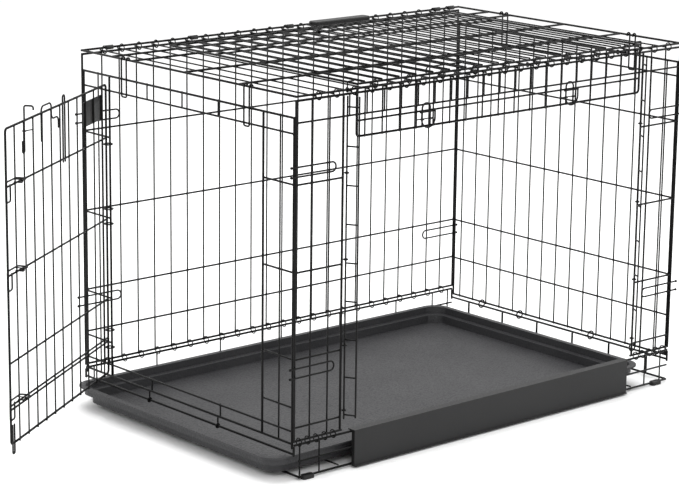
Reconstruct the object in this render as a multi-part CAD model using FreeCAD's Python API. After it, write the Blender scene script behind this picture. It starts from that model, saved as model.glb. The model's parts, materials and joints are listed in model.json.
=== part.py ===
"""Wire dog crate: welded wire panels on a base frame, a slide-out tray, a swing door and an overhead door.

Millimetres, +Z up. The origin is on the floor under the middle of the crate. X runs along the long side,
the swing door is in the -X end and the overhead door in the -Y side. The swing door stands open.
"""
import FreeCAD, Part
import math
import os

os.makedirs("parts", exist_ok=True)
V = FreeCAD.Vector

# Driving dimensions
LENGTH = 920.0            # over the corner wires
WIDTH = 590.0
HEIGHT = 645.0            # floor to the top of the roof frame
FRAME_D = 4.0             # frame wires
CROSS_D = 3.4             # horizontal wires
MESH_D = 2.8              # upright wires
HOOK_D = 3.0              # clips, hooks and bolts
RING_D = 2.0              # rings that link two panels
PITCH = 38.0              # spacing of the upright wires
WELD = 0.05               # how far wires sink into each other where they are welded
FIT = 0.3                 # gap round a wire that something turns or slides on
DOOR_OPEN = 57.0          # angle of the open swing door from its closed place, in degrees

# Planes and levels worked out from them
XE = LENGTH / 2 - FRAME_D / 2
YE = WIDTH / 2 - FRAME_D / 2
ROOF_Z = HEIGHT - FRAME_D / 2
MESH_IN = (FRAME_D + MESH_D) / 2 - WELD
CROSS_IN = (FRAME_D - CROSS_D) / 2
JOIN = FRAME_D / 2 - WELD
PANEL_TOP = ROOF_Z - 7.0
BASE_TOP = 62.0
PANEL_LOW = BASE_TOP + 7.0
LEVELS = [208.0, 354.0, 499.0]
END_TOP = 608.0
HEADER = 582.0
LINE_A = 600.0
END_Y = YE - FRAME_D - 0.6
POST_X = 358.0
HINGE_Y = 212.0
LATCH_Y = -211.0
LADDER_IN = (353.0, YE + 4.0)
LADDER_OUT = (343.0, YE + 22.0)


def save(node, solids):
    """Writes one sub-part's solids to its STEP file."""
    shape = solids[0] if len(solids) == 1 else Part.makeCompound(solids)
    shape.exportStep("parts/" + node + ".step")


def rod(a, b, d):
    """Straight round wire from a to b."""
    a, b = V(*a), V(*b)
    return Part.makeCylinder(d / 2, (b - a).Length, a, b - a)


def ring(centre, axis, radius, d):
    """Closed wire ring round an axis, with its centre line at the given radius."""
    return Part.makeTorus(radius, d / 2, V(*centre), V(*axis))


def bent(points, d, r):
    """Round wire along straight runs joined by tangent arcs of radius r."""
    p = [V(*q) for q in points]
    edges = []
    start = p[0]
    for i in range(1, len(p) - 1):
        to_here = (p[i] - p[i - 1]).normalize()
        onward = (p[i + 1] - p[i]).normalize()
        half = to_here.getAngle(onward) / 2
        cut = r * math.tan(half)
        a, b = p[i] - to_here * cut, p[i] + onward * cut
        inward = (onward - to_here).normalize()
        middle = p[i] + inward * (r / math.cos(half) - r)
        if (a - start).Length > 1e-4:
            edges.append(Part.LineSegment(start, a).toShape())
        edges.append(Part.Arc(a, middle, b).toShape())
        start = b
    if (p[-1] - start).Length > 1e-4:
        edges.append(Part.LineSegment(start, p[-1]).toShape())
    path = Part.Wire(edges)
    section = Part.Wire(Part.makeCircle(d / 2, p[0], p[1] - p[0]))
    return path.makePipeShell([section], True, False)


def block(lo, hi, r=0.0):
    """Box between two corners, with its upright edges rounded by r."""
    size = [hi[i] - lo[i] for i in range(3)]
    shape = Part.makeBox(size[0], size[1], size[2], V(*lo))
    if r:
        upright = [e for e in shape.Edges if abs(e.tangentAt(e.FirstParameter).z) > 0.99]
        shape = shape.makeFillet(r, upright)
    return shape


def frame(corner_a, across, along, d, r):
    """Rectangular wire frame from a corner: four straight tubes and four elbows."""
    a, u, w = V(*corner_a), V(*across), V(*along)
    eu, ew = V(u).normalize(), V(w).normalize()
    corners = [(a, eu, ew), (a + u, ew, -eu), (a + u + w, -eu, -ew), (a + w, -ew, eu)]
    solids = []
    for i, (c, ahead, side) in enumerate(corners):
        nxt, nxt_ahead = corners[(i + 1) % 4][0], corners[(i + 1) % 4][1]
        tube_a, tube_b = c + ahead * r, nxt - ahead * r
        solids.append(rod(tube_a, tube_b, d))
        centre = c + ahead * r + side * r
        disc = Part.Face(Part.Wire(Part.makeCircle(d / 2, c + side * r, side)))
        solids.append(disc.revolve(centre, ahead.cross(-side) * -1, 90))
    return solids


def steps(first, last, pitch):
    """Places from first to last at an even pitch."""
    count = int(round((last - first) / pitch))
    return [first + i * pitch for i in range(count + 1)]


GRID_X = steps(-11 * PITCH, 11 * PITCH, PITCH)


def base():
    """Base frame: side rails, end rails, uprights, floor grid, feet and the rings on its top wires."""
    x_low = LENGTH / 2 - 12.0
    floor_z = 5.0
    uprights = []
    for name, side in (("front", -1), ("back", 1)):
        y = side * YE
        save("base_rails_" + name, [
            rod((-XE, y, BASE_TOP), (XE, y, BASE_TOP), FRAME_D),
            rod((-x_low, y - side * CROSS_IN, 33), (XE, y - side * CROSS_IN, 33), CROSS_D),
            rod((-x_low, y, floor_z), (XE, y, floor_z), FRAME_D)])
        y_in = y - side * MESH_IN
        uprights += [rod((x, y_in, floor_z - 1), (x, y_in, BASE_TOP + 1.5), MESH_D)
                     for x in (-442.4, -400, -300, -150, 0, 150, 300, 400, 442.4)]
    save("base_uprights", uprights)
    y_end = YE - JOIN
    end_z = {"left": 47.0, "right": 44.0}
    floor_x = {"left": 2 - x_low, "right": XE}
    stubs = []
    for name, side in (("left", -1), ("right", 1)):
        z = end_z[name]
        save("base_end_" + name, [
            rod((side * XE, -y_end, z), (side * XE, y_end, z), FRAME_D),
            rod((floor_x[name], -y_end, floor_z), (floor_x[name], y_end, floor_z), FRAME_D)])
        stubs += [rod((side * XE, s * YE, z - 4), (side * XE, s * YE, BASE_TOP - 2 + WELD), FRAME_D)
                  for s in (-1, 1)]
    save("base_corner_stubs", stubs)
    save("base_right_posts", [rod((XE, y, floor_z + JOIN), (XE, y, end_z["right"] - JOIN), FRAME_D)
                              for y in steps(-242, 242, 96.8)])
    grid_z = floor_z + MESH_IN
    save("floor_grid",
         [rod((x, -YE, grid_z), (x, YE, grid_z), MESH_D) for x in steps(-360, 360, 80)]
         + [rod((floor_x["left"] + JOIN, y, floor_z), (floor_x["right"] - JOIN, y, floor_z), FRAME_D)
            for y in (-146, 0, 146)])
    feet = []
    for x, y in [(0, 0)] + [(sx * 428, sy * YE) for sx in (-1, 1) for sy in (-1, 1)]:
        foot = block((x - 12, y - 6, 0), (x + 12, y + 6, 7), 4)
        groove = rod((x - 20, y, floor_z), (x + 20, y, floor_z), FRAME_D + 0.04)
        slot = block((x - 20, y - FRAME_D / 2 - 0.02, floor_z), (x + 20, y + FRAME_D / 2 + 0.02, 9))
        feet.append(foot.cut(groove).cut(slot))
    save("base_feet", feet)
    middle = (BASE_TOP + PANEL_LOW) / 2
    reach = 3.5 + FRAME_D / 2 + FIT + RING_D / 2
    front = [sx * x for sx in (-1, 1) for x in steps(372, 446, 18.5)]
    save("base_rings", [ring((x, -YE + 1.2, middle), (1, 0, 0), reach, RING_D) for x in front]
         + [ring((x + 8, YE - 1.2, middle), (1, 0, 0), reach, RING_D) for x in GRID_X])


def front_panel():
    """Front panel: a wire strip each side of the opening and a short-wired header over it."""
    top, low = PANEL_TOP, PANEL_LOW
    y, y_in, y_cross = -YE, -YE + MESH_IN, -YE + CROSS_IN
    inner = XE - JOIN
    edge = [rod((s * XE, y, low - 2), (s * XE, y, top + 2), FRAME_D) for s in (-1, 1)]
    posts = [rod((s * POST_X, y, low + JOIN), (s * POST_X, y, top - JOIN), FRAME_D) for s in (-1, 1)]
    low_wires = [rod((s * inner, y, low), (s * (POST_X - 4), y, low), FRAME_D) for s in (-1, 1)]
    save("front_panel_frame", edge + [rod((-inner, y, top), (inner, y, top), FRAME_D)] + low_wires + posts)
    post_side = POST_X - JOIN
    header = [rod((-post_side, y_cross, LINE_A), (post_side, y_cross, LINE_A), CROSS_D)]
    short = [rod((x, y_in, LINE_A - 1.5), (x, y_in, top + 1.5), MESH_D) for x in GRID_X if abs(x) < 350]
    save("front_panel_header", header + short)
    strips, eyes = [], []
    for s in (-1, 1):
        strips += [rod((s * x, y_in, low - 1.5), (s * x, y_in, top + 1.5), MESH_D) for x in (422, 384)]
        outer = POST_X + JOIN
        strips += [rod((s * inner, y_cross, z), (s * outer, y_cross, z), CROSS_D)
                   for z in [92.0] + LEVELS + [LINE_A]]
        eyes += [ring((s * LADDER_IN[0], -LADDER_IN[1], z), (0, 0, 1), (HOOK_D + MESH_D) / 2 + 0.05, MESH_D)
                 for z in [104.0] + [q + 8 for q in LEVELS]]
    save("front_panel_strips", strips)
    save("ladder_eyes", eyes)


def ladder(name, s):
    """Guide ladder beside the opening, turned so that its rungs and outer rod make a channel for the door."""
    low, high = 92.0, 634.0
    (xi, yi), (xo, yo) = LADDER_IN, LADDER_OUT
    rails = [rod((s * xi, -yi, low - 4), (s * xi, -yi, high), HOOK_D),
             rod((s * xo, -yo, low), (s * xo, -yo, high), HOOK_D)]
    gap = V(s * (xo - xi), -(yo - yi), 0)
    step_in = gap.normalize() * (HOOK_D / 2 - WELD)
    rungs = []
    for z in [low + 4 + i * 65.0 for i in range(9)]:
        a, b = V(s * xi, -yi, z) + step_in, V(s * xo, -yo, z) - step_in
        rungs.append(rod(a, b, MESH_D))
    save("guide_ladder_" + name, rails + rungs)


def back_panel():
    """Back panel: full grid of uprights on four cross wires."""
    top, low, y = PANEL_TOP, PANEL_LOW, YE
    inner = XE - JOIN
    save("back_panel_frame",
         [rod((s * XE, y, low - 2), (s * XE, y, top + 2), FRAME_D) for s in (-1, 1)]
         + [rod((-inner, y, z), (inner, y, z), FRAME_D) for z in (low, top)])
    save("back_panel_cross_wires", [rod((-inner, y - CROSS_IN, z), (inner, y - CROSS_IN, z), CROSS_D)
                                    for z in [130.0] + LEVELS])
    save("back_panel_uprights", [rod((x, y - MESH_IN, low - 1.5), (x, y - MESH_IN, top + 1.5), MESH_D)
                                 for x in GRID_X])
    sleeves = []
    for x in (-399, -209, 19, 399, 437):
        tube = Part.makeCylinder(4.0, 15, V(x - 7.5, y, ROOF_Z), V(1, 0, 0))
        bore = Part.makeCylinder(FRAME_D / 2 + 0.02, 17, V(x - 8.5, y, ROOF_Z), V(1, 0, 0))
        sleeves.append(tube.cut(bore))
    save("roof_edge_sleeves", sleeves)


def roof():
    """Roof panel: frame, long stiffeners and cross wires, with the rings that link it to the long panels."""
    inner_x = XE - JOIN
    save("roof_frame", [rod((-XE - 2, s * YE, ROOF_Z), (XE + 2, s * YE, ROOF_Z), FRAME_D) for s in (-1, 1)]
         + [rod((s * XE, -YE + JOIN, ROOF_Z), (s * XE, YE - JOIN, ROOF_Z), FRAME_D) for s in (-1, 1)])
    save("roof_stiffeners", [rod((-inner_x, y, ROOF_Z), (inner_x, y, ROOF_Z), FRAME_D)
                             for y in (-146, 0, 146, 205)])
    z = ROOF_Z - MESH_IN
    save("roof_cross_wires", [rod((x, -YE - 1.5, z), (x, YE + 1.5, z), MESH_D) for x in GRID_X])
    middle = (ROOF_Z + PANEL_TOP) / 2
    reach = 3.5 + FRAME_D / 2 + FIT + RING_D / 2
    rings = [(x + 8, side) for side in (-1, 1) for x in GRID_X]
    rings.remove((9 * PITCH + 8, -1))
    save("roof_rings", [ring((x, side * (YE - 1.2), middle), (1, 0, 0), reach, RING_D) for x, side in rings])


def left_end():
    """Left end panel: side strips, door posts and header round the swing door's opening."""
    x, x_in, x_cross = -XE, -XE + MESH_IN, -XE + CROSS_IN
    low = 55.0
    inner = END_Y - JOIN
    save("left_panel_frame",
         [rod((x, s * END_Y, low), (x, s * END_Y, END_TOP + 2), FRAME_D) for s in (-1, 1)]
         + [rod((x, -inner, z), (x, inner, z), FRAME_D) for z in (64.0, END_TOP)])
    save("left_panel_door_posts", [rod((x, y, 64.0 + JOIN), (x, y, END_TOP - JOIN), FRAME_D)
                                   for y in (HINGE_Y, LATCH_Y)])
    header = [rod((x_cross, LATCH_Y + JOIN, z), (x_cross, HINGE_Y - JOIN, z), CROSS_D) for z in (85.0, HEADER)]
    header += [rod((x_in, y, HEADER - 1.5), (x_in, y, END_TOP + 1.5), MESH_D) for y in (107, 9, -89)]
    save("left_panel_sill_and_header", header)
    strips = []
    for s, post in ((1, HINGE_Y + JOIN), (-1, -LATCH_Y + JOIN)):
        strips += [rod((x_cross, s * post, z), (x_cross, s * inner, z), CROSS_D)
                   for z in [85.0, 126.0] + LEVELS + [HEADER]]
        strips.append(rod((x_in, s * 250, 62), (x_in, s * 250, END_TOP + 1.5), MESH_D))
    save("left_panel_strips", strips)
    hooks = []
    for y in (98.0, -95.0):
        hooks.append(rod((x_in, y, 86.5), (x_in, y, 62.5), MESH_D))
        hooks.append(ring((x, y + MESH_D, 47.0), (0, 1, 0), FRAME_D / 2 + 0.1 + MESH_D / 2, MESH_D))
        hooks.append(rod((x, y + MESH_D, 52.0), (x, y + MESH_D, 64.0 - JOIN - 0.01), MESH_D))
    save("left_panel_base_hooks", hooks)


def right_end():
    """Right end panel: full grid of uprights, linked to the base by rings."""
    x, low = XE, 52.0
    inner = END_Y - JOIN
    save("right_panel_frame",
         [rod((x, s * END_Y, low - 2), (x, s * END_Y, END_TOP + 2), FRAME_D) for s in (-1, 1)]
         + [rod((x, -inner, z), (x, inner, z), FRAME_D) for z in (low, END_TOP)])
    save("right_panel_cross_wires", [rod((x - CROSS_IN, -inner, z), (x - CROSS_IN, inner, z), CROSS_D)
                                     for z in [129.0] + LEVELS + [HEADER]])
    save("right_panel_uprights", [rod((x - MESH_IN, y, low - 1.5), (x - MESH_IN, y, END_TOP + 1.5), MESH_D)
                                  for y in steps(-7 * PITCH, 7 * PITCH, PITCH)])
    save("right_base_rings", [ring((x, y, 48.0), (0, 1, 0), 4 + FRAME_D / 2 + FIT + MESH_D / 2, MESH_D)
                              for y in (-205, -97, 97, 205)])


def corner_clips():
    """U-shaped clips of the long panels, hooked past the end panels' corner wires."""
    clips = []
    for side in (-1, 1):
        y = side * (YE + FRAME_D / 2 + HOOK_D / 2 - WELD)
        for s in (-1, 1):
            for z in (186.0, 521.0):
                path = [(s * 470, y, z - 8), (s * 376, y, z - 8), (s * 376, y, z + 8), (s * 470, y, z + 8)]
                clip = bent(path, HOOK_D, 7.9)
                for dz in (-8, 8):
                    clip = clip.fuse(Part.makeSphere(2.4, V(s * 470, y, z + dz)))
                clips.append(clip)
    save("corner_clips", clips)


def top_hooks():
    """Spring loops of the end panels, curled over the roof's end wires."""
    hooks = []
    for side in (-1, 1):
        out = side * (XE + FRAME_D / 2 + HOOK_D / 2 + 0.1)
        back = side * (XE - FRAME_D / 2 - HOOK_D / 2 - 0.1)
        top = ROOF_Z + FRAME_D / 2 + HOOK_D / 2 + 0.3
        for y in (164.0, -172.0):
            path = [(back, y - 7, ROOF_Z - 2), (back, y - 7, top), (out, y - 7, top), (out, y - 7, HEADER - 4),
                    (out, y + 7, HEADER - 4), (out, y + 7, top), (back, y + 7, top), (back, y + 7, ROOF_Z - 2)]
            hooks.append(bent(path, HOOK_D, 3.4))
    save("top_hooks", hooks)


def threshold_plate():
    """Formed plate hooked over the base's front top wire in the opening."""
    x, t = 335.0, 2.0
    y_out, y_back = -YE - 12, -YE - 4
    outer = block((-x, y_out, 3), (x, y_back, 66.5))
    hollow = block((-x + t, y_out + t, 3 + t), (x - t, y_back + 1, 70))
    plate = outer.cut(hollow)
    flange = block((-x, y_out, 64.5), (x, -YE + 5, 66.5))
    lip = block((-x, -YE + 3, 58), (x, -YE + 5, 66.5))
    plate = plate.fuse(flange).fuse(block((-x, y_out - 3, 3), (x, y_out + 1, 3 + t)))
    for sx in (-250, 250):
        plate = plate.fuse(lip.common(block((sx - 30, -YE, 50), (sx + 30, -YE + 8, 70))))
    save("threshold_plate", [plate.removeSplitter()])


def tray():
    """Moulded tray with a stepped rim, drawn part of the way out under the left end."""
    x0, x1, y1 = -497.0, 405.0, 283.0

    def level(inset, z0, z1, r):
        return block((x0 + inset, -y1 + inset, z0), (x1 - inset, y1 - inset, z1), r)

    floor_z, shelf_z, rim_z, top_z, wall = 9.8, 28.0, 38.5, 41.5, 2.5
    shell = level(20, floor_z, shelf_z, 24).fuse(level(8, shelf_z - wall, rim_z, 30))
    shell = shell.fuse(level(0, rim_z, top_z, 34))
    pocket = level(20 + wall, floor_z + wall, shelf_z + 1, 21.5)
    pocket = pocket.fuse(level(8 + wall, shelf_z, top_z + 1, 27.5))
    save("tray", [shell.cut(pocket).removeSplitter()])


# Swing door, drawn closed and then turned open about its hinge wire
HINGE = (-XE - 8.0, HINGE_Y)
DOOR_W = 436.0
DOOR_LOW, DOOR_TOP = 73.0, 594.0
DOOR_ROWS = [131.0, 138.0, 209.0, 354.5, 500.0]


def opened(solids):
    """Turns solids drawn on the closed door to the open door's place."""
    for s in solids:
        s.rotate(V(HINGE[0], HINGE[1], 0), V(0, 0, 1), -DOOR_OPEN)
    return solids


def on_door(s, n, z):
    """Point on the closed door: s from the hinge, n outwards, height z."""
    return (HINGE[0] - n, HINGE[1] - s, z)


def swing_door():
    """Swing door: rounded frame, uprights, cross wires, hinge rings, blank plate and fixed loops."""
    frame_solids = frame(on_door(0, 0, DOOR_LOW), (0, -DOOR_W, 0), (0, 0, DOOR_TOP - DOOR_LOW), FRAME_D, 6)
    save("swing_door_frame", opened(frame_solids))
    save("swing_door_cross_wires", opened([
        rod(on_door(JOIN, -CROSS_IN, z), on_door(DOOR_W - JOIN, -CROSS_IN, z), CROSS_D) for z in DOOR_ROWS]))
    save("swing_door_uprights", opened([
        rod(on_door(s, -MESH_IN, DOOR_LOW - 1.5), on_door(s, -MESH_IN, DOOR_TOP + 1.5), MESH_D)
        for s in steps(28, 28 + 10 * PITCH, PITCH)]))
    save("swing_door_blank_plate", opened([block(on_door(110, 0.5, 537), on_door(24, MESH_D / 2 - MESH_IN, 580))]))
    out = (FRAME_D + HOOK_D) / 2 - WELD
    stay = [(180, 492), (180, 606), (189, 606), (189, 492)]
    s_hook = [(281, 545), (281, 603), (238, 603), (238, 575), (208, 575), (208, 555)]
    foot_pin = [(414, 102), (414, 52), (422, 52), (422, 102)]
    save("swing_door_loops", opened([bent([on_door(s, out, z) for s, z in path], HOOK_D, r)
                                     for path, r in ((stay, 4.4), (s_hook, 9), (foot_pin, 3.9))]))
    middle = (-XE + HINGE[0]) / 2
    save("swing_door_hinge_rings", [ring((middle, HINGE[1], z), (0, 0, 1), 4 + 2 + 0.2 + 1.3, 2.6)
                                    for z in (119, 151, 345, 372, 488)])


BOLT_IN = -12.8
BOLT_UP = 5.25
BOLT_ROWS = {"lower": 138.0 + BOLT_UP, "middle": 354.5 + BOLT_UP, "upper": 500.0 + BOLT_UP}


def side_bolts():
    """Sliding bolts on the door's free edge, each a bent wire with a hanging loop, and their keepers."""
    for name, z in BOLT_ROWS.items():
        path = [on_door(414, BOLT_IN, z), on_door(384, BOLT_IN, z), on_door(384, 5.2, z),
                on_door(426, 5.2, z), on_door(426, 5.2, z - 34), on_door(408, 5.2, z - 34),
                on_door(408, 5.2, z - 6)]
        save("side_bolt_" + name, opened([bent(path, HOOK_D, 4.0)]))
    half = HOOK_D / 2 + RING_D / 2 + 0.1
    keepers = []
    for z in BOLT_ROWS.values():
        staple = [(0.0, z + half), (BOLT_IN - half, z + half), (BOLT_IN - half, z - half), (0.0, z - half)]
        keepers.append(bent([on_door(405.65, n, h) for n, h in staple], RING_D, half - 0.05))
    eye = ring(on_door(350, 4.0, 575), (0, 0, 1), HOOK_D / 2 + FIT + RING_D / 2, RING_D)
    keepers.append(eye.fuse(rod(on_door(333.42, -3.2, 575), on_door(347.4, 2.9, 575), RING_D)))
    save("swing_door_keepers", opened(keepers))


def top_bolt():
    """Hairpin bolt at the door's top that drops over the end panel's top wire."""
    out, back, lift = 4.0, -12.0, 4.7
    arm = [(350, out, 540), (350, out, END_TOP + 4 + lift), (350, back, END_TOP + 4 + lift),
           (350, back, END_TOP - 2.4 + lift)]
    loop = [on_door(s, n, z) for s, n, z in arm]
    loop = [on_door(358, out, 560), on_door(358, out, 540)] + loop
    save("top_bolt", opened([bent(loop, HOOK_D, 3.6)]))


# Overhead door, stored on the roof with its lower band hanging in front
DOOR_X = 338.0
OVER = 9.5
SECTION_Y0 = -YE - OVER
SECTION_Z = ROOF_Z + OVER
SECTION_LEN = 495.0
BAND_TOP = SECTION_Z - 7.0
BAND_LOW = 566.0


def overhead_section():
    """Main section: side and end wires, uprights and cross wires, lying over the roof."""
    y0, y1, z = SECTION_Y0, SECTION_Y0 + SECTION_LEN, SECTION_Z
    side = DOOR_X - JOIN
    save("overhead_section_frame", [rod((s * DOOR_X, y0 - 2, z), (s * DOOR_X, y1 + 2, z), FRAME_D)
                                    for s in (-1, 1)]
         + [rod((-side, y, z), (side, y, z), FRAME_D) for y in (y0, y1)])
    uprights = [rod((x, y0 - 1.5, z + MESH_IN), (x, y1 + 1.5, z + MESH_IN), MESH_D)
                for x in steps(-8.5 * PITCH, 8.5 * PITCH, PITCH)]
    cross = [rod((-side, y0 + SECTION_LEN * q, z + CROSS_IN), (side, y0 + SECTION_LEN * q, z + CROSS_IN),
                 CROSS_D) for q in (0.25, 0.5, 0.75)]
    save("overhead_section_wires", uprights + cross)


def overhead_band():
    """Lower band: a short framed grid on rings round the main section's front wire, with two bolts."""
    y, half = SECTION_Y0, DOOR_X
    save("overhead_band_frame", frame((-half, y, BAND_LOW), (2 * half, 0, 0), (0, 0, BAND_TOP - BAND_LOW),
                                      FRAME_D, 6))
    side = half - JOIN
    save("overhead_band_wires", [rod((-side, y - CROSS_IN, 592), (side, y - CROSS_IN, 592), CROSS_D)] + [
        rod((x, y - MESH_IN, BAND_LOW - 1.5), (x, y - MESH_IN, BAND_TOP + 1.5), MESH_D)
        for x in steps(-8.5 * PITCH, 8.5 * PITCH, PITCH)])
    middle = (SECTION_Z + BAND_TOP) / 2
    reach = 3.5 + FRAME_D / 2 + FIT + RING_D / 2
    save("overhead_band_rings", [ring((x, y - 1.2, middle), (1, 0, 0), reach, RING_D)
                                 for x in steps(-300, 300, 75)])
    keepers = []
    gap = (PITCH - MESH_D) / 2 + WELD
    for name, x in (("left", -190.0), ("right", 152.0)):
        yb = y - MESH_IN - MESH_D / 2 - HOOK_D / 2 - 0.4
        path = [(x - 9, yb, 569), (x - 9, yb, 606), (x + 9, yb, 606), (x + 9, yb, 569)]
        bolt = bent(path, HOOK_D, 8.9)
        grip = bent([(x - 15, yb - 5.6, 594), (x - 15, yb - 5.6, 566), (x + 15, yb - 5.6, 566),
                     (x + 15, yb - 5.6, 594)], HOOK_D, 14.9)
        bar = rod((x - 16, yb - 2.8, 592), (x + 16, yb - 2.8, 592), HOOK_D)
        save("band_bolt_" + name, [bolt.fuse(bar).fuse(grip).removeSplitter()])
        bracket = rod((x - gap, y - MESH_IN, 579), (x + gap, y - MESH_IN, 579), RING_D)
        for dx in (-9, 9):
            bracket = bracket.fuse(ring((x + dx, yb, 579), (0, 0, 1), HOOK_D / 2 + FIT + RING_D / 2, RING_D))
        keepers.append(bracket.removeSplitter())
    save("band_bolt_keepers", keepers)


def guide_hooks():
    """Clips round the roof's front wire, and side arms that hold the stored section's side wires."""
    round_wire = FRAME_D / 2 + 0.15 + 1.2
    clips = []
    for x in (-290, -62, 62, 290):
        clip = ring((x, -YE, ROOF_Z), (1, 0, 0), round_wire, 2.4)
        clips.append(clip)
    save("roof_edge_clips", clips)
    arms = []
    for s in (-1, 1):
        x = s * 350.5
        eye = ring((x, -YE, ROOF_Z), (1, 0, 0), round_wire, 2.4)
        top = SECTION_Z + FRAME_D / 2 + 2.0
        arm = bent([(x, -YE, ROOF_Z + 3.0), (x, -YE, top), (x - s * 14, -YE, top)], 2.4, 2.4)
        arms.append(eye.fuse(arm).removeSplitter())
    save("door_guide_arms", arms)


def carry_handle():
    """Folding handle: a flat grip on two wire arms that turn on the roof's rear stiffener."""
    y, z = 205.0, ROOF_Z
    x0, x1 = 30.0, 170.0
    round_wire = FRAME_D / 2 + 0.15 + 1.4
    arms = []
    for x in (x0 - 14, x1 + 14):
        s = 1 if x < x0 else -1
        eye = ring((x, y, z), (1, 0, 0), round_wire, MESH_D)
        arm = bent([(x, y + 2.5, z + 2.5), (x, y + 9, z + 9.5), (x, y + 38, z + 9.5),
                    (x + s * 20, y + 38, z + 9.5)], MESH_D, 4.0)
        arms.append(eye.fuse(arm).removeSplitter())
    save("handle_arms", arms)
    grip = block((x0, y + 26, z + 5.0), (x1, y + 50, z + 14.0), 8)
    edges = [e for e in grip.Edges if abs(e.BoundBox.ZMax - e.BoundBox.ZMin) < 0.01]
    grip = grip.makeFillet(2.5, edges)
    for x in (x0 - 14, x1 + 14):
        s = 1 if x < x0 else -1
        grip = grip.cut(rod((x, y + 38, z + 9.5), (x + s * 21, y + 38, z + 9.5), MESH_D + 0.02))
    save("handle_grip", [grip])


base()
front_panel()
ladder("left", -1)
ladder("right", 1)
back_panel()
roof()
left_end()
right_end()
corner_clips()
top_hooks()
threshold_plate()
tray()
swing_door()
side_bolts()
top_bolt()
overhead_section()
overhead_band()
guide_hooks()
carry_handle()
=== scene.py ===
"""Looks for the wire dog crate: round coated wires, moulded plastic, a plain studio and the camera."""
import json
import math

import bmesh
import bpy
import numpy as np
from mathutils import Matrix, Vector


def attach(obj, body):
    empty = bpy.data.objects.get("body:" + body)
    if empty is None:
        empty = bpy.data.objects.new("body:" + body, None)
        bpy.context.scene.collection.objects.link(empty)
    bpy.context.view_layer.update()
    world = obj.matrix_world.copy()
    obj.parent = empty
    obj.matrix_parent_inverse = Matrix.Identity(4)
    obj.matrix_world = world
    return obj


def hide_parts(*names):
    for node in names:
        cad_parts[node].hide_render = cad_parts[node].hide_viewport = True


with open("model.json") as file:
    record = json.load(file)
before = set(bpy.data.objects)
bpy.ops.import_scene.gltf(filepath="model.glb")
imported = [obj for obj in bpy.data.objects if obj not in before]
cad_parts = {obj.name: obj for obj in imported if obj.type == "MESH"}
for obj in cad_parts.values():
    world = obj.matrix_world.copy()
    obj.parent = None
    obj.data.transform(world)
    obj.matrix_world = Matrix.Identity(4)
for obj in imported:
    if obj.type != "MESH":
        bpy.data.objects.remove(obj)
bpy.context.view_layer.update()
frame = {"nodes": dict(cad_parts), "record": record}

BODIES = frame["record"]["behaviour"]["bodies"]
BODY_OF = {node: body for body, nodes in BODIES.items() for node in nodes}

# Lengths in metres
FLOOR_SIZE = 40.0
SAME_POINT = 1e-6                # vertices closer than this are joined

# Wires
SIDES = 16                       # sides of a rebuilt wire
DOME = 0.35                      # how far a wire's end domes, as a share of its radius
TIP, SHOULDER = 0.55, 0.86       # radius at the end and part of the way up the dome, as shares
SHOULDER_AT = 0.35               # place of the shoulder along the dome
WIRE_MAX_RADIUS = 0.0023
STUBBY = 3                       # a wire is at least this many radii long
CYLINDER_POINTS = 40             # a part with more vertices than this may be a bent wire
ROUND_WITHIN = 0.00036           # spread of the distances from a straight wire's axis
SMOOTH_BELOW = 50                # degrees between faces that shade smoothly
BEVEL_ABOVE = 40                 # degrees between faces whose edge is rounded

# Camera, set round the crate's own size
LONG, WIDE, TALL = 0.920, 0.590, 0.645
EYE = (-3.211 * LONG, -5.509 * WIDE, 2.066 * TALL)
YAW, PITCH, ROLL = 41.22, 13.50, -0.68
FOCAL = 131.1

# Area lights: name, place, size and power
LIGHTS = (
    ("key", (-2.2, -2.6, 3.4), 2.4, 50),
    ("fill", (3.2, -2.0, 2.6), 3.0, 40),
    ("top", (0.3, 0.9, 3.8), 3.0, 110),
)
LIGHTS_AIM = (0, 0, 0.3)


def shader(name, colour):
    """New material with a Principled shader. Returns the material, its nodes, its links and the shader."""
    mat = bpy.data.materials.new(name)
    mat.use_nodes = True
    nodes, links = mat.node_tree.nodes, mat.node_tree.links
    bsdf = nodes["Principled BSDF"]
    bsdf.inputs["Base Color"].default_value = (*colour, 1.0)
    return mat, nodes, links, bsdf


def noise(nodes, links, scale, detail):
    """Noise texture in the object's own coordinates."""
    coords = nodes.new("ShaderNodeTexCoord")
    tex = nodes.new("ShaderNodeTexNoise")
    tex.inputs["Scale"].default_value = scale
    tex.inputs["Detail"].default_value = detail
    links.new(coords.outputs["Object"], tex.inputs["Vector"])
    return tex


def spread(nodes, links, source, low, high, target):
    """Maps a 0 to 1 value to low to high and feeds it to a socket."""
    ramp = nodes.new("ShaderNodeMapRange")
    ramp.inputs["From Min"].default_value = 0.3
    ramp.inputs["From Max"].default_value = 0.7
    ramp.inputs["To Min"].default_value = low
    ramp.inputs["To Max"].default_value = high
    links.new(source, ramp.inputs["Value"])
    links.new(ramp.outputs["Result"], target)


def mix_colours(nodes, links, source, dark, light, bsdf):
    """Blends the base colour between two tones."""
    ramp = nodes.new("ShaderNodeValToRGB")
    ramp.color_ramp.elements[0].position = 0.35
    ramp.color_ramp.elements[1].position = 0.65
    ramp.color_ramp.elements[0].color = (*dark, 1.0)
    ramp.color_ramp.elements[1].color = (*light, 1.0)
    links.new(source, ramp.inputs["Fac"])
    links.new(ramp.outputs["Color"], bsdf.inputs["Base Color"])


def bump(nodes, links, source, strength, distance, bsdf):
    """Small surface relief from a height value."""
    node = nodes.new("ShaderNodeBump")
    node.inputs["Strength"].default_value = strength
    node.inputs["Distance"].default_value = distance
    links.new(source, node.inputs["Height"])
    links.new(node.outputs["Normal"], bsdf.inputs["Normal"])


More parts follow.
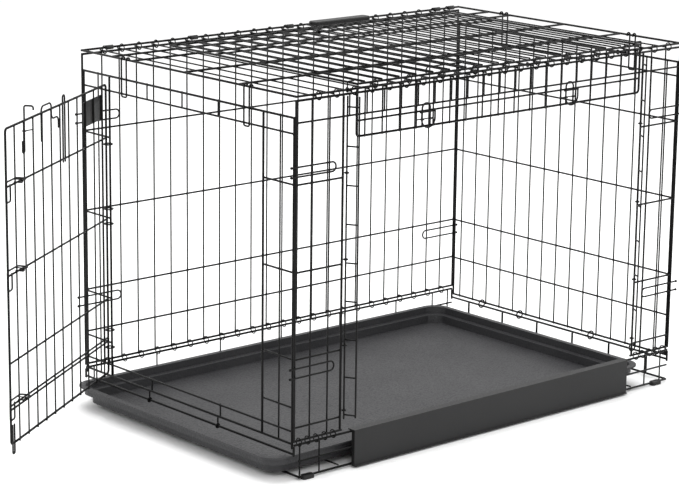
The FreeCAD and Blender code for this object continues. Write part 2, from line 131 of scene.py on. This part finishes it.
def coated_wire():
    """Black electro-coated steel wire: satin, with faint unevenness in the coat."""
    mat, nodes, links, bsdf = shader("coated_wire", (0.002, 0.002, 0.002))
    bsdf.inputs["Specular IOR Level"].default_value = 0.14
    tex = noise(nodes, links, 260.0, 3.0)
    mix_colours(nodes, links, tex.outputs["Fac"], (0.0015, 0.0015, 0.0015), (0.003, 0.003, 0.003), bsdf)
    spread(nodes, links, tex.outputs["Fac"], 0.30, 0.46, bsdf.inputs["Roughness"])
    bump(nodes, links, tex.outputs["Fac"], 0.15, 0.0002, bsdf)
    return mat


def pebbled_plastic(name, dark, light, roughness, grain, relief):
    """Moulded plastic with a fine pebble grain."""
    mat, nodes, links, bsdf = shader(name, dark)
    coords = nodes.new("ShaderNodeTexCoord")
    cells = nodes.new("ShaderNodeTexVoronoi")
    cells.feature = "SMOOTH_F1"
    cells.inputs["Scale"].default_value = grain
    links.new(coords.outputs["Object"], cells.inputs["Vector"])
    tex = noise(nodes, links, 9.0, 4.0)
    mix_colours(nodes, links, tex.outputs["Fac"], dark, light, bsdf)
    bsdf.inputs["Specular IOR Level"].default_value = 0.3
    spread(nodes, links, cells.outputs["Distance"], roughness - 0.06, roughness + 0.08,
           bsdf.inputs["Roughness"])
    bump(nodes, links, cells.outputs["Distance"], relief, 0.0006, bsdf)
    return mat


def loose_parts(mesh):
    """Vertices and faces of each separate closed part of a mesh, with doubled vertices joined."""
    bm = bmesh.new()
    bm.from_mesh(mesh)
    bmesh.ops.remove_doubles(bm, verts=bm.verts, dist=SAME_POINT)
    bm.verts.ensure_lookup_table()
    seen, parts = set(), []
    for first in bm.verts:
        if first.index in seen:
            continue
        stack, members = [first], []
        seen.add(first.index)
        while stack:
            v = stack.pop()
            members.append(v)
            for e in v.link_edges:
                other = e.other_vert(v)
                if other.index not in seen:
                    seen.add(other.index)
                    stack.append(other)
        local = {v.index: i for i, v in enumerate(members)}
        points = np.array([v.co[:] for v in members])
        faces = {f for v in members for f in v.link_faces}
        parts.append((points, [[local[v.index] for v in f.verts] for f in faces]))
    bm.free()
    return parts


def straight_axis(points):
    """Ends and radius of a straight round wire, or None if the part bends."""
    centre = points.mean(axis=0)
    _, _, axes = np.linalg.svd(points - centre, full_matrices=False)
    axis = axes[0]
    along = (points - centre) @ axis
    off = (points - centre) - np.outer(along, axis)
    radii = np.linalg.norm(off, axis=1)
    radius = radii.max()
    length = along.max() - along.min()
    if radius > WIRE_MAX_RADIUS or length < radius * STUBBY:
        return None
    if radii.min() < radius - ROUND_WITHIN and len(points) > CYLINDER_POINTS:
        return None
    return centre + axis * along.min(), centre + axis * along.max(), radius


def tube(a, b, radius, verts, faces):
    """Adds a smooth round wire with domed ends to the lists."""
    a, b = Vector(a), Vector(b)
    axis = (b - a).normalized()
    side = axis.orthogonal().normalized()
    other = axis.cross(side)
    dome = radius * DOME
    stations = [(a, TIP), (a + axis * dome * SHOULDER_AT, SHOULDER), (a + axis * dome, 1.0),
                (b - axis * dome, 1.0), (b - axis * dome * SHOULDER_AT, SHOULDER), (b, TIP)]
    start = len(verts)
    for centre, share in stations:
        for k in range(SIDES):
            turn = 2 * math.pi * k / SIDES
            verts.append(centre + (side * math.cos(turn) + other * math.sin(turn)) * radius * share)
    for row in range(len(stations) - 1):
        for k in range(SIDES):
            p = start + row * SIDES + k
            q = start + row * SIDES + (k + 1) % SIDES
            faces.append((p, q, q + SIDES, p + SIDES))
    faces.append(tuple(start + k for k in reversed(range(SIDES))))
    last = start + (len(stations) - 1) * SIDES
    faces.append(tuple(last + k for k in range(SIDES)))


def smooth_wires(node, mat):
    """Rebuilds a wire node with round wires and stands the new piece in for it."""
    verts, faces = [], []
    for points, part_faces in loose_parts(frame["nodes"][node].data):
        wire = straight_axis(points)
        if wire:
            tube(*wire, verts, faces)
            continue
        start = len(verts)
        verts.extend(Vector(p) for p in points)
        faces.extend(tuple(start + i for i in f) for f in part_faces)
    mesh = bpy.data.meshes.new(node + "_wires")
    mesh.from_pydata(verts, [], faces)
    mesh.update()
    mesh.materials.append(mat)
    piece = bpy.data.objects.new(node + "_wires", mesh)
    bpy.context.scene.collection.objects.link(piece)
    smooth(piece)
    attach(piece, BODY_OF[node])
    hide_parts(node)


def smooth(obj):
    """Smooth shading that keeps the sharper edges."""
    for polygon in obj.data.polygons:
        polygon.use_smooth = True
    obj.data.set_sharp_from_angle(angle=math.radians(SMOOTH_BELOW))


def soften(node, width, mat):
    """Small rounded edges and a material on a solid CAD node."""
    obj = frame["nodes"][node]
    obj.data.materials.clear()
    obj.data.materials.append(mat)
    weld = obj.modifiers.new("weld", "WELD")
    weld.merge_threshold = SAME_POINT
    bevel = obj.modifiers.new("bevel", "BEVEL")
    bevel.width = width
    bevel.segments = 2
    bevel.limit_method = "ANGLE"
    bevel.angle_limit = math.radians(BEVEL_ABOVE)
    bevel.harden_normals = True


def studio():
    """Plain pale floor, soft lights and a white surround."""
    bpy.ops.mesh.primitive_plane_add(size=FLOOR_SIZE)
    floor = bpy.context.object
    floor.name = "floor"
    mat, nodes, links, bsdf = shader("floor_paint", (0.9, 0.9, 0.9))
    tex = noise(nodes, links, 3.0, 2.0)
    mix_colours(nodes, links, tex.outputs["Fac"], (0.89, 0.89, 0.89), (0.91, 0.91, 0.91), bsdf)
    bsdf.inputs["Roughness"].default_value = 0.9
    floor.data.materials.append(mat)
    world = bpy.data.worlds.new("studio")
    bpy.context.scene.world = world
    world.use_nodes = True
    world.node_tree.nodes["Background"].inputs["Color"].default_value = (1.0, 1.0, 1.0, 1.0)
    world.node_tree.nodes["Background"].inputs["Strength"].default_value = 1.0
    for name, place, size, power in LIGHTS:
        lamp = bpy.data.lights.new(name, "AREA")
        lamp.size = size
        lamp.energy = power
        light = bpy.data.objects.new(name, lamp)
        light.location = place
        light.rotation_euler = (Vector(LIGHTS_AIM) - Vector(place)).to_track_quat("-Z", "Y").to_euler()
        bpy.context.scene.collection.objects.link(light)
    bpy.context.scene.view_settings.view_transform = "Standard"


def camera():
    """Camera in front of the near left corner."""
    data = bpy.data.cameras.new("camera")
    data.lens = FOCAL
    data.sensor_width = 36.0
    cam = bpy.data.objects.new("camera", data)
    turn = Matrix.Rotation(math.radians(-YAW), 4, "Z") @ Matrix.Rotation(math.radians(90 - PITCH), 4, "X")
    cam.matrix_world = Matrix.Translation(EYE) @ turn @ Matrix.Rotation(math.radians(-ROLL), 4, "Z")
    bpy.context.scene.collection.objects.link(cam)
    bpy.context.scene.camera = cam


wire_mat = coated_wire()
tray_mat = pebbled_plastic("tray_plastic", (0.026, 0.026, 0.028), (0.034, 0.034, 0.036), 0.46, 330, 1.0)
plate_mat = pebbled_plastic("plate_plastic", (0.005, 0.005, 0.0053), (0.007, 0.007, 0.0073), 0.42, 900, 0.2)
grip_mat = pebbled_plastic("black_plastic", (0.007, 0.007, 0.007), (0.011, 0.011, 0.011), 0.45, 900, 0.3)

# Moulded and formed nodes: width of their rounded edges, and material
SOLIDS = {
    "tray": (0.0008, tray_mat),
    "threshold_plate": (0.0006, plate_mat),
    "handle_grip": (0.0005, grip_mat),
    "base_feet": (0.0004, grip_mat),
    "roof_edge_sleeves": (0.0003, grip_mat),
    "swing_door_blank_plate": (0.0004, grip_mat),
}
for node in frame["nodes"]:
    if node not in SOLIDS:
        smooth_wires(node, wire_mat)
for node, (width, mat) in SOLIDS.items():
    soften(node, width, mat)
studio()
camera()
